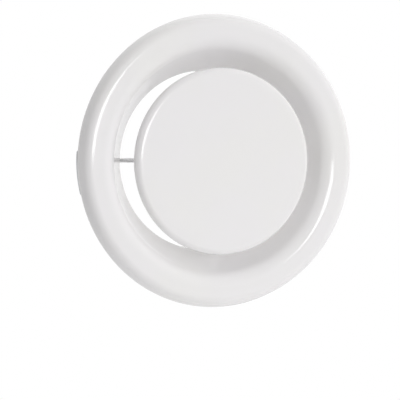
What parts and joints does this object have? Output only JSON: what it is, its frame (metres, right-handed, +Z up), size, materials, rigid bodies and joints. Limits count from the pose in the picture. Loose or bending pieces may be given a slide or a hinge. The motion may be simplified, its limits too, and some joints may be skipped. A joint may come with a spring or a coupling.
{
  "type": "air_valve",
  "caption": "Round pressed-steel extract air valve: domed rim with a funnel throat, screw-adjusted disc on a bridge, clamp springs behind.",
  "frame": {"origin": "on the axis of the valve, in the plane where the foam gasket meets the wall or ceiling", "axes": "the front faces -Y, +Z is up, the axis of the valve and of the duct is the Y axis"},
  "size_m": [0.164, 0.0683, 0.164],
  "materials": {
    "powder_coat": "gloss",
    "zinc": "satin",
    "spring_steel": "satin",
    "foam": "matte"
  },
  "bodies": {
    "valve": {"valve_ring": "powder_coat", "gasket": "foam", "bridge_strip_upper": "zinc", "bridge_strip_lower": "zinc", "bridge_nut": "zinc", "bridge_rivet_right_upper": "zinc", "bridge_rivet_right_lower": "zinc", "bridge_rivet_left_upper": "zinc", "bridge_rivet_left_lower": "zinc", "clamp_spring_1": "spring_steel", "clamp_spring_2": "spring_steel", "clamp_spring_3": "spring_steel", "spring_rivet_1a": "zinc", "spring_rivet_1b": "zinc", "spring_rivet_2a": "zinc", "spring_rivet_2b": "zinc", "spring_rivet_3a": "zinc", "spring_rivet_3b": "zinc"},
    "screw": {"spindle": "zinc"},
    "plate": {"disc": "powder_coat", "disc_hub": "zinc", "jam_nut": "zinc"},
    "washer": {"lock_washer": "zinc"},
    "locknut": {"lock_nut": "zinc"}
  },
  "joints": [
    {"name": "spindle_travel", "type": "slide", "parent": "valve", "child": "screw", "axis": [0, 1, 0], "range_m": [-0.0075, 0.0225]},
    {"name": "disc_turn", "type": "hinge", "parent": "screw", "child": "plate", "pos_m": [0, 0, 0], "axis": [0, 1, 0], "range_deg": [-2160, 6480]},
    {"name": "washer_travel", "type": "slide", "parent": "valve", "child": "washer", "axis": [0, 1, 0], "range_m": [0, 0.00125]},
    {"name": "lock_nut_turn", "type": "hinge", "parent": "washer", "child": "locknut", "pos_m": [0, 0, 0], "axis": [0, 1, 0], "range_deg": [0, 360]}
  ],
  "couplings": [
    {"joint": "spindle_travel", "follows": "disc_turn", "m_per_rad": 0.00019894},
    {"joint": "washer_travel", "follows": "lock_nut_turn", "m_per_rad": 0.00019894}
  ]
}
